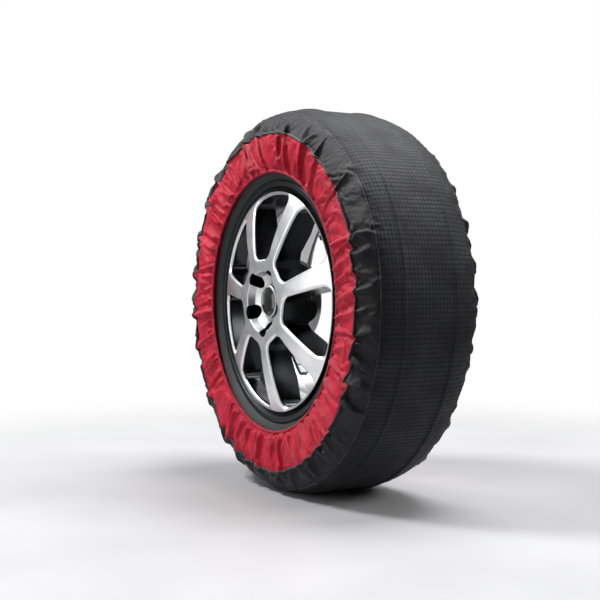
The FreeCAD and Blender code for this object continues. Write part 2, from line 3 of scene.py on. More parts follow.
import bpy
import numpy as np
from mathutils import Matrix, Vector


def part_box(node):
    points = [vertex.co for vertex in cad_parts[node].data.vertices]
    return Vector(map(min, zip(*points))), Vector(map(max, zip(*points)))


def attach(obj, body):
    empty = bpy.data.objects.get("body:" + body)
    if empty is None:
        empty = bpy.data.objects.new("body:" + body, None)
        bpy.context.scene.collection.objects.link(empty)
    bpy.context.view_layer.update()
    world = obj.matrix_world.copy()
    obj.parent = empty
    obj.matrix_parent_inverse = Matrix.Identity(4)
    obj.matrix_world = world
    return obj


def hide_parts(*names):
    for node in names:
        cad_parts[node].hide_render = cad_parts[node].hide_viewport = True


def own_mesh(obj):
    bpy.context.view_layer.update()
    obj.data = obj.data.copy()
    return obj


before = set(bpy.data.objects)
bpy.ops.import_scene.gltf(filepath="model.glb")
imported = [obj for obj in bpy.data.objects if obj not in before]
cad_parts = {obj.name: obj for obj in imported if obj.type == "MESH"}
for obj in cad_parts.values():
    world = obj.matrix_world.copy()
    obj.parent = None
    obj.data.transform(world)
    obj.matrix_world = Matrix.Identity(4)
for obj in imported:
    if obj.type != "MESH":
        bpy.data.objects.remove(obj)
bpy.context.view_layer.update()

TURN = 2 * math.pi

# ---------------------------------------------------------------- sizes, in metres
TYRE_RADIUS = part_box("tyre_tread")[1].z
TYRE_HALF_WIDTH = -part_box("tyre_outer_sidewall")[0].y
FLOOR_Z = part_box("sock_tread_panel")[0].z
WIDEST_RADIUS = TYRE_RADIUS - 0.066
BEAD_DEPTH = 0.077
CROWN_POWERS = (5.0, 2.3)
BEAD_POWERS = (3.5, 2.6)
CORE_RADIUS = 0.283
SHOULDER_Y = 0.088
PANEL_EDGE_Y = 0.091
SEAM_RADIUS = 0.301
HEM_LOW, HEM_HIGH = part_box("sock_outer_hem")
HEM_SECTION = (HEM_HIGH.y - HEM_LOW.y) / 2
HEM_RADIUS = HEM_HIGH.z - HEM_SECTION
HEM_Y = (HEM_HIGH.y + HEM_LOW.y) / 2

# ---------------------------------------------------------------- cloth
COLUMNS = 800
SIDE_ROWS = 24
BAND_ROWS = 17
TREAD_ROWS = 24
SIDE_THICKNESS = 0.0008
BAND_THICKNESS = 0.0009
TREAD_THICKNESS = 0.0016
SIM_FRAMES = 16
CLOTH_EXCESS = 0.10
TYRE_COLUMNS = 320
TYRE_BELOW_CLOTH = 0.0014
FOLD_GAIN = 0.7
SEAM_ROW = SIDE_ROWS
EDGE_ROW = SIDE_ROWS + BAND_ROWS
LOOSE_ROWS = EDGE_ROW + 13
SEED = 7
RIDGES = 60
GATHERS = 152
FOLDS = 46
SAGS = 19
LOW_FOLD = 0.009
RIDGE_HEIGHT = 0.0085
GATHER_HEIGHT = 0.0034
FOLD_HEIGHT = 0.0120
SAG_HEIGHT = 0.0038
FOLD_START = 0.75  # share of the side panel where the shoulder's folds begin


def wall_y(radius):
    """How far the tyre's wall stands from its centre plane at a radius."""
    if radius >= WIDEST_RADIUS:
        across, up = CROWN_POWERS
        share = (radius - WIDEST_RADIUS) / (TYRE_RADIUS - WIDEST_RADIUS)
    else:
        across, up = BEAD_POWERS
        share = (WIDEST_RADIUS - radius) / BEAD_DEPTH
    return TYRE_HALF_WIDTH * (1 - share**up) ** (1 / across)


def crown_radius(y):
    """The tyre's outer radius at a place across the tread."""
    across, up = CROWN_POWERS
    share = min(1.0, abs(y) / TYRE_HALF_WIDTH)
    return WIDEST_RADIUS + (TYRE_RADIUS - WIDEST_RADIUS) * (1 - share**across) ** (1 / up)


def section_line():
    """The outboard half of the tyre's section, from the hem to the crown, as (radius, y) points."""
    radii = np.linspace(HEM_RADIUS + 0.002, crown_radius(SHOULDER_Y), 500)
    wall = [(r, -wall_y(r)) for r in radii]
    places = np.linspace(-SHOULDER_Y, 0, 300)[1:]
    return np.array(wall + [(crown_radius(y), y) for y in places])


def moved_out(line, distances):
    """A (radius, y) line moved along its outward normals."""
    along = np.gradient(line, axis=0)
    along /= np.linalg.norm(along, axis=1)[:, None]
    normals = np.stack([along[:, 1], -along[:, 0]], axis=1)
    return line + normals * distances[:, None]


def lengths_along(line):
    """How far along a line each of its points is."""
    steps = np.linalg.norm(np.diff(line, axis=0), axis=1)
    return np.concatenate([[0], np.cumsum(steps)])


def cloth_rows(lift):
    """The (radius, y) of every row of cloth, lift further out than a close fit."""
    tyre = section_line()
    close = np.interp(tyre[:, 0], (HEM_RADIUS, SEAM_RADIUS, TYRE_RADIUS), (0.0024, 0.0026, 0.0044))
    line = moved_out(tyre, close + lift)
    lengths = lengths_along(line)
    seam = lengths[np.argmax(line[:, 0] > SEAM_RADIUS)]
    edge = lengths[np.argmax((line[:, 1] > -PANEL_EDGE_Y) & (line[:, 0] > SEAM_RADIUS))]
    wanted = np.concatenate([
        np.linspace(0, seam, SIDE_ROWS, endpoint=False),
        np.linspace(seam, edge, BAND_ROWS, endpoint=False),
        np.linspace(edge, lengths[-1], TREAD_ROWS + 1),
    ])
    return np.stack([np.interp(wanted, lengths, line[:, i]) for i in (0, 1)], axis=1)


def turned_rows(rows, columns):
    """A (rows, columns, 3) grid of points: the rows turned about the wheel's axis."""
    angles = np.arange(columns) * TURN / columns
    radius, y = rows[:, 0][:, None], rows[:, 1][:, None]
    return np.stack([radius * np.cos(angles), y + 0 * angles, radius * np.sin(angles)], axis=-1)


def within_half_turn(angles):
    """Angles brought to between minus and plus half a turn."""
    return (angles + math.pi) % TURN - math.pi


def ridge_field(rng, count, width, lean):
    """Bumps at uneven angles: a function of (angle, share) that is 0 between them, 1 at most on one."""
    spots = (np.arange(count) + rng.uniform(-0.32, 0.32, count)) * TURN / count
    heights = rng.uniform(0.35, 1.0, count)
    leans = rng.normal(lean, abs(lean) * 0.8 + 0.004, count)
    widths = width * rng.uniform(0.75, 1.35, count)

    def field(angles, shares):
        total = np.zeros((len(shares), len(angles)))
        for spot, height, slant, wide in zip(spots, heights, leans, widths):
            off = within_half_turn(angles[None, :] - spot - slant * shares[:, None])
            total += height * np.exp(-((off / wide) ** 2))
        return total

    return field


def start_shape(rows):
    """The sock's outboard half before it settles: gathers at the hem run into ridges that fade outward."""
    rng = np.random.default_rng(SEED)
    angles = np.arange(COLUMNS) * TURN / COLUMNS
    index = np.arange(len(rows))
    side = np.clip(index / SIDE_ROWS, 0, 1)
    band = np.clip((index - SIDE_ROWS) / BAND_ROWS, 0, 1)
    tread = np.clip((index - SIDE_ROWS - BAND_ROWS) / TREAD_ROWS, 0, 1)
    ridges = ridge_field(rng, RIDGES, 0.017, 0.05)(angles, side + 0.6 * band)
    gathers = ridge_field(rng, GATHERS, 0.0115, 0.0)(angles, side)
    folds = ridge_field(rng, FOLDS, 0.026, -0.06)(angles, band)
    sags = ridge_field(rng, SAGS, 0.055, 0.10)(angles, band + tread)
    # The cloth hangs slacker just below the front and on the far edge than elsewhere.
    slack = 0.35 + 0.65 * np.exp(-(within_half_turn(angles + 0.45) / 0.62) ** 2)
    slack += 0.4 * np.exp(-(within_half_turn(angles - math.pi) / 0.8) ** 2)
    ridge_height = RIDGE_HEIGHT * np.minimum(1, side / 0.18) * (1 - 0.35 * side) * (1 - band) ** 1.1
    gather_height = GATHER_HEIGHT * np.exp(-((side / 0.20) ** 1.5))
    fold_height = FOLD_HEIGHT * np.sin(math.pi * np.clip(0.30 + 0.70 * band, 0, 1))
    fold_height = fold_height * (side >= FOLD_START) * (1 - tread) ** 6
    fold_height *= np.clip((side - FOLD_START) * 4, 0, 1)
    sag_height = SAG_HEIGHT * np.sin(math.pi * np.clip(0.15 + 0.5 * band + 0.35 * tread, 0, 1)) * (side >= 1)
    push = ridge_height[:, None] * ridges + gather_height[:, None] * gathers
    push += fold_height[:, None] * folds * slack + sag_height[:, None] * sags * slack
    grid = turned_rows(rows, COLUMNS)
    return grid + push[..., None] * grid_normals(grid)


def grid_normals(grid):
    """The outward normals of a grid of points that goes round the wheel."""
    around = np.roll(grid, -1, axis=1) - np.roll(grid, 1, axis=1)
    across = np.gradient(grid, axis=0)
    normals = np.cross(across, around)
    normals /= np.linalg.norm(normals, axis=2)[..., None] + 1e-12
    flat = grid.copy()
    flat[..., 1] = 0
    core = flat / np.linalg.norm(flat, axis=2)[..., None] * CORE_RADIUS
    return normals * np.sign(np.sum(normals * (grid - core)))


def grid_faces(rows, columns, first=0, flip=False):
    """The quads of a grid of points that closes on itself along its columns."""
    near = np.arange(rows - 1)[:, None] * columns + np.arange(columns)[None, :]
    nearby = np.arange(rows - 1)[:, None] * columns + (np.arange(columns)[None, :] + 1) % columns
    quads = np.stack([near, nearby, nearby + columns, near + columns], axis=-1).reshape(-1, 4)
    if flip:
        quads = quads[:, ::-1]
    return quads + first


def new_mesh(name, points, faces, uvs=None):
    """A smooth mesh object from arrays of points and quads, with its flat layout as a UV map."""
    mesh = bpy.data.meshes.new(name)
    mesh.from_pydata(points.reshape(-1, 3).tolist(), [], faces.tolist())
    if uvs is not None:
        layer = mesh.uv_layers.new(name="flat")
        layer.data.foreach_set("uv", uvs.astype(np.float32).ravel())
    mesh.polygons.foreach_set("use_smooth", np.ones(len(mesh.polygons), bool))
    mesh.update()
    made = bpy.data.objects.new(name, mesh)
    bpy.context.scene.collection.objects.link(made)
    return made


def settled(start, rows):
    """The start shape after cloth simulation over the tyre."""
    faces = grid_faces(len(rows), COLUMNS)
    cloth = new_mesh("settling_cloth", start, faces)
    pins = cloth.vertex_groups.new(name="pins")
    held = list(range(COLUMNS)) + list(range((len(rows) - 1) * COLUMNS, len(rows) * COLUMNS))
    pins.add(held, 1.0, "REPLACE")
    taut = cloth.vertex_groups.new(name="taut")
    for row in range(len(rows)):
        share = float(np.interp(row, (0, SIDE_ROWS, EDGE_ROW, EDGE_ROW + 5), (0.0, 0.3, 0.8, 1.0)))
        taut.add(list(range(row * COLUMNS, (row + 1) * COLUMNS)), share, "REPLACE")
    tyre = turned_rows(cloth_rows(-TYRE_BELOW_CLOTH), TYRE_COLUMNS)
    solid = new_mesh("settling_tyre", tyre, grid_faces(len(rows), TYRE_COLUMNS, flip=True))
    solid.modifiers.new("collision", "COLLISION")
    solid.collision.thickness_outer = 0.0004
    solid.collision.cloth_friction = 8
    modifier = cloth.modifiers.new("cloth", "CLOTH")
    settings = modifier.settings
    settings.quality = 4
    settings.mass = 0.0003
    settings.tension_stiffness = 20
    settings.compression_stiffness = 20
    settings.shear_stiffness = 4
    settings.bending_stiffness = 0.02
    settings.air_damping = 2
    settings.vertex_group_mass = "pins"
    settings.vertex_group_shrink = "taut"
    settings.shrink_min = -CLOTH_EXCESS
    settings.shrink_max = 0.0
    modifier.collision_settings.distance_min = 0.001
    modifier.collision_settings.collision_quality = 2
    modifier.collision_settings.use_self_collision = False
    scene = bpy.context.scene
    for step in range(1, SIM_FRAMES + 1):
        scene.frame_set(step)
    result = cloth.evaluated_get(bpy.context.evaluated_depsgraph_get()).data
    points = np.zeros(start.size, np.float32)
    result.vertices.foreach_get("co", points)
    scene.frame_set(1)
    bpy.data.objects.remove(cloth)
    bpy.data.objects.remove(solid)
    return points.astype(float).reshape(start.shape)


def deepened(grid, rows, gain):
    """A settled grid with deeper folds, kept outside its closest fit and eased where it stands proud."""
    base = turned_rows(rows, COLUMNS)
    normals = grid_normals(base)
    folds = grid - smoothed(grid, 60)
    deeper = grid + gain * np.sum(folds * normals, axis=2)[..., None] * normals
    height = np.sum((deeper - base) * normals, axis=2)
    wanted = np.maximum(0, height) - 0.6 * np.maximum(0, height - LOW_FOLD)
    return deeper + (wanted - height)[..., None] * normals


def smoothed(grid, times):
    """A grid with its small kinks eased, leaving its first and last rows."""
    for _ in range(times):
        eased = (np.roll(grid, 1, axis=1) + np.roll(grid, -1, axis=1) + 2 * grid) / 4
        grid = np.concatenate([grid[:1], eased[1:-1], grid[-1:]])
    return grid


def finer(grid):
    """A grid with a point added between each two neighbours round the wheel, on a smooth curve."""
    following = np.roll(grid, -1, axis=1)
    outer = np.roll(grid, 1, axis=1) + np.roll(grid, -2, axis=1)
    between = (9 * (grid + following) - outer) / 16
    return np.stack([grid, between], axis=2).reshape(grid.shape[0], -1, 3)


def on_floor(grid):
    """A grid pressed flat where it stands on the floor."""
    pressed = grid.copy()
    pressed[..., 2] = np.maximum(pressed[..., 2], FLOOR_Z)
    return pressed


def other_side(grid):
    """The same cloth on the other side of the wheel: half a turn about the upright axis."""
    return grid * np.array([-1, -1, 1])


def cloth_shell(name, grid, thickness):
    """A panel of cloth of that thickness, whose outer face is the grid."""
    rows, columns = grid.shape[:2]
    normals = grid_normals(grid)
    points = np.concatenate([grid, grid - normals * thickness])
    count = rows * columns
    outward = np.sum(np.cross(grid[1, 0] - grid[0, 0], grid[0, 1] - grid[0, 0]) * normals[0, 0]) < 0
    layers = [grid_faces(rows, columns, 0, not outward), grid_faces(rows, columns, count, outward)]
    edge_strips = []
    for row, flip in ((0, outward), (rows - 1, not outward)):
        near = row * columns + np.arange(columns)
        far = row * columns + (np.arange(columns) + 1) % columns
        quads = np.stack([near, near + count, far + count, far], axis=-1)
        edge_strips.append(quads if flip else quads[:, ::-1])
    faces = np.concatenate(layers + edge_strips)
    place = faces % count
    around = place % columns
    wraps = (around == 0) & (around.max(axis=1)[:, None] == columns - 1)
    lengths = lengths_along(np.stack([np.linalg.norm(grid[:, 0, ::2], axis=1), grid[:, 0, 1]], axis=1))
    pitch = TURN * TYRE_RADIUS / columns
    uvs = np.stack([np.where(wraps, columns, around) * pitch, lengths[place // columns]], axis=-1)
    return new_mesh(name, points, faces, uvs)


def tube(name, centres, outs, radii):
    """A closed tube round the wheel, with a centre, an outward direction and radii at each station."""
    stations, sides = radii.shape
    along = np.roll(centres, -1, axis=0) - np.roll(centres, 1, axis=0)
    along /= np.linalg.norm(along, axis=1)[:, None]
    beside = np.cross(along, outs)
    beside /= np.linalg.norm(beside, axis=1)[:, None]
    outs = np.cross(beside, along)
    turn = np.arange(sides) * TURN / sides
    ring = outs[:, None] * np.cos(turn)[None, :, None] + beside[:, None] * np.sin(turn)[None, :, None]
    points = centres[:, None] + ring * radii[..., None]
    station = np.arange(stations)[:, None]
    side = np.arange(sides)[None, :]
    following, beyond = (station + 1) % stations, (side + 1) % sides
    faces = np.stack([
        station * sides + side, station * sides + beyond,
        following * sides + beyond, following * sides + side], axis=-1).reshape(-1, 4)
    places = np.stack([
        station + 0 * side, station + 0 * side, station + 1 + 0 * side, station + 1 + 0 * side], axis=-1)
    here, next_side = side + 0 * station, side + 1 + 0 * station
    turns = np.stack([here, next_side, next_side, here], axis=-1)
    pitch = TURN * SEAM_RADIUS / stations
    uvs = np.stack([places * pitch, turns / sides * 0.012], axis=-1)
    return new_mesh(name, points, faces, uvs)


def along_row(row, stations):
    """A closed row of points sampled at more stations."""
    places = np.arange(stations) * len(row) / stations
    closed = np.concatenate([row, row[:1]])
    return np.stack([np.interp(places, np.arange(len(closed)), closed[:, i]) for i in range(3)], axis=-1)


def seam_tube(name, grid, row, radius, wraps, lift):
    """An overlocked seam that follows a row of the cloth, ridged by its thread."""
    stations = wraps * 4
    normals = grid_normals(grid)[row]
    centres = along_row(grid[row] + normals * lift, stations)
    outs = along_row(normals, stations)
    phase = np.arange(stations)[:, None] * TURN / 4
    turn = np.arange(10)[None, :] * TURN / 10
    radii = radius * (1 + 0.16 * np.cos(phase + turn))
    return tube(name, on_floor(centres), outs, radii)


def hem_tube(name, flip):
    """The rolled hem, bunched over its elastic."""
    rng = np.random.default_rng(SEED + 1)
    stations, sides = 1488, 18
    angles = np.arange(stations) * TURN / stations
    across, along, up = HEM_RADIUS * np.cos(angles), HEM_Y + 0 * angles, HEM_RADIUS * np.sin(angles)
    centre = np.stack([across, along, up], axis=-1)
    outs = np.tile((0.0, -1.0, 0.0), (stations, 1))
    bunch = ridge_field(rng, GATHERS, 0.0125, 0.0)(angles, np.zeros(1))[0]
    twist = ridge_field(rng, 61, 0.03, 0.0)(angles, np.zeros(1))[0]
    turn = np.arange(sides) * TURN / sides
    swell = 0.22 * (bunch[:, None] - 0.5) * (0.75 + 0.25 * np.cos(turn))[None, :]
    radii = (HEM_SECTION - 0.0011) * (1 + swell)
    radii += 0.0004 * np.cos(turn[None, :] + 3 * twist[:, None])
    if flip:
        centre, outs = other_side(centre), -outs
    return tube(name, centre, outs, np.minimum(radii, HEM_SECTION + 0.0002))


# ---------------------------------------------------------------- materials
def srgb(red, green, blue):
    """A linear colour from 0-255 screen values."""
    shares = [value / 255 for value in (red, green, blue)]
    return [(c / 12.92 if c < 0.04045 else ((c + 0.055) / 1.055) ** 2.4) for c in shares] + [1.0]


class Paint:
    """A material under construction, with short calls for the nodes that it needs."""

    def __init__(self, name, **sockets):
        self.material = bpy.data.materials.new(name)
        self.material.use_nodes = True
        self.tree = self.material.node_tree
        self.shader = self.tree.nodes["Principled BSDF"]
        for socket, value in sockets.items():
            self.shader.inputs[socket.replace("_", " ")].default_value = value
        self.bumped = None

    def node(self, kind, **values):
        """A new node with some of its settings."""
        made = self.tree.nodes.new(kind)
        for name, value in values.items():
            setattr(made, name, value)
        return made

    def put(self, value, socket):
        """Links an output to a socket, or sets the socket to a plain value."""
        if isinstance(value, bpy.types.NodeSocket):
            self.tree.links.new(value, socket)
        else:
            socket.default_value = value

    def maths(self, operation, *values):
        """The result of a maths node."""
        made = self.node("ShaderNodeMath", operation=operation)
        for value, socket in zip(values, made.inputs):
            self.put(value, socket)
        return made.outputs[0]

    def place(self):
        """Object coordinates."""
        return self.node("ShaderNodeTexCoord").outputs["Object"]

    def flat(self):
        """The cloth's own flat layout, in metres."""
        return self.node("ShaderNodeUVMap", uv_map="flat").outputs["UV"]

    def split(self, vector):
        """The three parts of a vector."""
        made = self.node("ShaderNodeSeparateXYZ")
        self.put(vector, made.inputs[0])
        return made.outputs

    def radius(self):
        """Distance from the wheel's axis."""
        x, _, z = self.split(self.place())
        return self.length(x, z)

    def length(self, first, second):
        """The length of a flat step by its two parts."""
        squares = [self.maths("MULTIPLY", part, part) for part in (first, second)]
        return self.maths("SQRT", self.maths("ADD", *squares))

    def noise(self, vector, scale, detail=3.0, roughness=0.55):
        """Noise over a vector."""
        made = self.node("ShaderNodeTexNoise")
        self.put(vector, made.inputs["Vector"])
        made.inputs["Scale"].default_value = scale
        made.inputs["Detail"].default_value = detail
        made.inputs["Roughness"].default_value = roughness
        return made.outputs["Fac"]

    def stretched(self, vector, factors):
        """A vector with each part multiplied by its factor."""
        made = self.node("ShaderNodeVectorMath", operation="MULTIPLY")
        self.put(vector, made.inputs[0])
        made.inputs[1].default_value = factors
        return made.outputs[0]

    def ramp(self, factor, low, high, start=0.0, end=1.0):
        """A colour or number that goes from low to high as the factor goes from start to end."""
        made = self.node("ShaderNodeMapRange", interpolation_type="SMOOTHSTEP")
        self.put(factor, made.inputs["Value"])
        made.inputs["From Min"].default_value = start
        made.inputs["From Max"].default_value = end
        if isinstance(low, (int, float)):
            made.inputs["To Min"].default_value = low
            made.inputs["To Max"].default_value = high
            return made.outputs["Result"]
        mix = self.node("ShaderNodeMix", data_type="RGBA")
        self.put(made.outputs["Result"], mix.inputs["Factor"])
        self.put(low, mix.inputs[6])
        self.put(high, mix.inputs[7])
        return mix.outputs[2]

    def wave(self, value, pitch):
        """A wave from 0 to 1 with that pitch along a value."""
        turned = self.maths("SINE", self.maths("MULTIPLY", value, TURN / pitch))
        return self.maths("MULTIPLY_ADD", turned, 0.5, 0.5)

    def bump(self, height, distance, strength=1.0):
        """Adds relief on top of the relief so far."""
        made = self.node("ShaderNodeBump")
        made.inputs["Strength"].default_value = strength
        made.inputs["Distance"].default_value = distance
        self.put(height, made.inputs["Height"])
        if self.bumped is not None:
            self.put(self.bumped, made.inputs["Normal"])
        self.bumped = made.outputs[0]
        self.put(self.bumped, self.shader.inputs["Normal"])

    def colour(self, value):
        """Sets the base colour."""
        self.put(value, self.shader.inputs["Base Color"])

    def rough(self, value):
        """Sets the roughness."""
        self.put(value, self.shader.inputs["Roughness"])


def plain_weave(paint, pitch, depth):
    """Over-and-under threads at a pitch, over the cloth's flat layout."""
    u, v, _ = paint.split(paint.flat())
    warp = paint.wave(u, pitch)
    weft = paint.wave(v, pitch)
    crossed = paint.maths("ABSOLUTE", paint.maths("SUBTRACT", warp, weft))
    paint.bump(crossed, depth)
    return crossed


def woven_cloth(name, dark, light, roughness, sheen, pitch, depth):
    """Plain woven polyester with uneven threads, crinkles and a soft sheen."""
    paint = Paint(name, Sheen_Weight=sheen, Sheen_Roughness=0.35, Specular_IOR_Level=0.30)
    crossed = plain_weave(paint, pitch, depth)
    flat = paint.flat()
    cloudy = paint.noise(flat, 45.0, 4.0)
    threads = paint.noise(paint.stretched(flat, (1200, 60, 1)), 1.0, 2.0)
    tone = paint.maths("MULTIPLY_ADD", threads, 0.35, paint.maths("MULTIPLY", cloudy, 0.65))
    paint.colour(paint.ramp(tone, dark, light, 0.30, 0.70))
    paint.rough(paint.ramp(crossed, roughness + 0.08, roughness - 0.06))
    paint.bump(paint.noise(paint.stretched(flat, (1, 0.45, 1)), 160.0, 3.0), 0.0007)
    return paint.material


def tread_weave():
    """Ribbed waffle cloth: rows of raised blocks across the tread."""
    paint = Paint("tread_weave", Sheen_Weight=0.04, Sheen_Roughness=0.4, Specular_IOR_Level=0.22)
    u, v, _ = paint.split(paint.flat())
    rib = paint.maths("ABSOLUTE", paint.maths("SINE", paint.maths("MULTIPLY", u, math.pi / 0.0079)))
    block = paint.maths("ABSOLUTE", paint.maths("SINE", paint.maths("MULTIPLY", v, math.pi / 0.0068)))
    raised = paint.maths("MULTIPLY", paint.maths("POWER", rib, 0.5), paint.maths("POWER", block, 0.35))
    worn = paint.noise(paint.flat(), 14.0, 3.0)
    strength = paint.ramp(worn, 0.45, 1.0, 0.3, 0.65)
    relief = paint.maths("MULTIPLY", raised, strength)
    fine = paint.maths("ABSOLUTE", paint.maths("SUBTRACT", paint.wave(u, 0.0012), paint.wave(v, 0.0012)))
    paint.bump(relief, 0.0007)
    paint.bump(fine, 0.00012)
    paint.bump(paint.noise(paint.flat(), 60.0, 3.0), 0.0010)
    # The colour follows the relief, darkest in the grooves between the raised blocks and between the fine
    # threads: painted shade in the hollows.
    threads = paint.maths("MULTIPLY_ADD", fine, 0.25, paint.maths("MULTIPLY", relief, 0.75))
    paint.colour(paint.ramp(threads, srgb(8, 8, 10), srgb(36, 37, 42), 0.05, 0.95))
    paint.rough(paint.ramp(relief, 0.72, 0.52))
    return paint.material


def thread_material(name, dark, light):
    """Overlock thread wound round a seam."""
    paint = Paint(name, Sheen_Weight=0.3, Sheen_Roughness=0.4)
    flat = paint.flat()
    fibres = paint.noise(paint.stretched(flat, (2600, 300, 1)), 1.0, 2.0)
    paint.colour(paint.ramp(fibres, dark, light, 0.3, 0.7))
    paint.rough(paint.ramp(fibres, 0.7, 0.5))
    paint.bump(fibres, 0.0002)
    return paint.material


def rubber_material(name, ringed):
    """Vulcanised rubber, dusty in places, with fine moulded rings where ringed."""
    paint = Paint(name, Specular_IOR_Level=0.45)
    place = paint.place()
    dust = paint.noise(place, 22.0, 5.0)
    grain = paint.noise(place, 900.0, 2.0)
    paint.colour(paint.ramp(dust, srgb(26, 27, 28), srgb(44, 45, 46), 0.35, 0.75))
    paint.rough(paint.ramp(dust, 0.52, 0.68, 0.3, 0.7))
    if ringed:
        paint.bump(paint.wave(paint.radius(), 0.0035), 0.0003)
    paint.bump(grain, 0.00015)
    return paint.material


def spoke_material():
    """Polished faces with uneven polish, and flanks coloured dark as a painted dark reflection and painted
    shade.
    """
    paint = Paint("polished_spokes", Metallic=1.0, Coat_Weight=0.15, Coat_Roughness=0.25)
    facing = paint.maths("ABSOLUTE", paint.split(paint.node("ShaderNodeNewGeometry").outputs["Normal"])[1])
    place = paint.place()
    turned = paint.noise(place, 30.0, 4.0)
    bright = paint.ramp(turned, srgb(214, 215, 217), srgb(236, 236, 238), 0.3, 0.7)
    # Away from the face, on the flanks, the colour goes dark: a painted dark reflection and painted shade.
    paint.colour(paint.ramp(facing, srgb(44, 45, 47), bright, 0.25, 0.60))
    paint.rough(paint.maths("ADD", paint.ramp(facing, 0.18, 0.36, 0.25, 0.60),
                            paint.maths("MULTIPLY", turned, 0.06)))
    paint.bump(paint.noise(place, 420.0, 3.0), 0.00004)
    return paint.material


def rim_material():
    """A bright machined barrel with a dark satin lip."""
    paint = Paint("rim_barrel", Metallic=1.0)
    y = paint.split(paint.place())[1]
    radius = paint.radius()
    far_out = paint.ramp(radius, 0.0, 1.0, 0.2050, 0.2062)
    outboard = paint.ramp(y, 1.0, 0.0, -0.078, -0.074)
    lip = paint.maths("MULTIPLY", far_out, outboard)
    streaks = paint.noise(paint.stretched(paint.place(), (6, 160, 6)), 1.0, 3.0)
    barrel = paint.ramp(streaks, srgb(176, 176, 178), srgb(204, 204, 206), 0.3, 0.7)
    paint.colour(paint.ramp(lip, barrel, srgb(58, 62, 65)))
    paint.rough(paint.maths("ADD", paint.ramp(lip, 0.24, 0.42), paint.maths("MULTIPLY", streaks, 0.12)))
    paint.bump(paint.wave(y, 0.0011), 0.00003)
    return paint.material


def metal_material(name, dark, light, roughness, scale):
    """Machined or drawn metal with small marks."""
    paint = Paint(name, Metallic=1.0)
    marks = paint.noise(paint.place(), scale, 4.0)
    paint.colour(paint.ramp(marks, dark, light, 0.3, 0.7))
    paint.rough(paint.ramp(marks, roughness, roughness + 0.18, 0.3, 0.7))
    paint.bump(marks, 0.0001)
    return paint.material


def plastic_material(name, dark, light, roughness, coat):
    """Moulded plastic with a faint orange peel and rubbed patches."""
    paint = Paint(name, Coat_Weight=coat, Coat_Roughness=0.04)
    peel = paint.noise(paint.place(), 520.0, 2.0)
    rubbed = paint.noise(paint.place(), 40.0, 4.0)
    paint.colour(paint.ramp(rubbed, dark, light, 0.35, 0.7))
    paint.rough(paint.ramp(rubbed, roughness, roughness + 0.14, 0.35, 0.7))
    paint.bump(peel, 0.00005)
    return paint.material


def dress(material, *names):
    """Gives CAD nodes a material."""
    for name in names:
        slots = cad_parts[name].data.materials
        slots.clear()
        slots.append(material)


# ---------------------------------------------------------------- the sock
ROWS = cloth_rows(0.0)
SHAPE = start_shape(ROWS)
SHAPE[:LOOSE_ROWS] = settled(SHAPE[:LOOSE_ROWS], ROWS[:LOOSE_ROWS])
SHAPE = deepened(smoothed(SHAPE, 1), ROWS, FOLD_GAIN)

RED = woven_cloth("red_satin", srgb(152, 9, 36), srgb(200, 18, 54), 0.44, 0.02, 0.0011, 0.00016)
BLACK = woven_cloth("black_plain", srgb(8, 8, 11), srgb(19, 19, 24), 0.42, 0.03, 0.0012, 0.00016)
TREAD = tread_weave()
# The hem is a darker copy of the red cloth: painted shade on the rolled hem.
HEM = woven_cloth("red_hem_painted_shade", srgb(128, 8, 32), srgb(178, 15, 48), 0.50, 0.02, 0.0011, 0.00016)
THREAD = thread_material("seam_thread", srgb(14, 13, 15), srgb(34, 30, 33))


def sock_piece(made, material, slot, *nodes):
    """Gives a cloth piece its material and its body, and hides the CAD nodes that it stands for."""
    made.data.materials.append(material)
    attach(made, "sock")
    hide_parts(*nodes)
    return made


def sock_side(word, grid, flip):
    """One side of the sock: side panel, shoulder band, hem and seams."""
    node = "sock_" + word + "_"
    side = cloth_shell(node + "side_cloth", finer(grid[:SEAM_ROW + 1]), SIDE_THICKNESS)
    band = cloth_shell(node + "shoulder_cloth", finer(grid[SEAM_ROW:EDGE_ROW + 1]), BAND_THICKNESS)
    hem = hem_tube(node + "gathered_hem", flip)
    fine = finer(grid)
    piping = seam_tube(node + "overlocked_seam", fine, SEAM_ROW, 0.0019, 740, 0.0004)
    edging = seam_tube(node + "tread_stitching", fine, EDGE_ROW, 0.0010, 720, 0.0)
    sock_piece(side, RED, "red_cloth", node + "side_panel")
    sock_piece(band, BLACK, "black_cloth", node + "shoulder_band")
    sock_piece(hem, HEM, "hem_cloth", node + "hem")
    sock_piece(piping, THREAD, "seam_thread", node + "seam_piping")
    sock_piece(edging, THREAD, "seam_thread", node + "tread_seam")


WORN = on_floor(SHAPE)
sock_side("outer", WORN, False)
sock_side("inner", other_side(WORN), True)
HALF_TURNED = np.roll(other_side(WORN)[:, ::-1], COLUMNS // 2 + 1, axis=1)
CROWN = np.concatenate([WORN[EDGE_ROW:], HALF_TURNED[EDGE_ROW:-1][::-1]])
PANEL = cloth_shell("sock_tread_cloth", CROWN, TREAD_THICKNESS)
sock_piece(PANEL, TREAD, "tread_weave", "sock_tread_panel")

# ---------------------------------------------------------------- the wheel
dress(rubber_material("tyre_wall", True), "tyre_outer_sidewall", "tyre_inner_sidewall")
dress(rubber_material("tyre_tread_rubber", False), "tyre_tread", "tyre_inner_liner")
dress(rubber_material("valve_rubber", False), "valve_stem_rubber", "valve_cap_washer", "valve_core_seal")
dress(spoke_material(), "wheel_spoke_centre")
dress(rim_material(), "wheel_rim")
dress(plastic_material("gloss_cap", srgb(8, 8, 9), srgb(14, 14, 15), 0.10, 1.0), "centre_cap")
dress(plastic_material("valve_cap_plastic", srgb(16, 16, 17), srgb(30, 30, 31), 0.42, 0.0), "valve_cap")
dress(metal_material("weight_zinc", srgb(120, 122, 124), srgb(158, 160, 162), 0.42, 160.0), "balance_weights")
dress(metal_material("drawn_steel", srgb(140, 141, 143), srgb(176, 177, 178), 0.28, 300.0),
      "centre_cap_clip_ring", "valve_core_spring", "tyre_steel_belts", "tyre_outer_bead_wire",
      "tyre_inner_bead_wire")
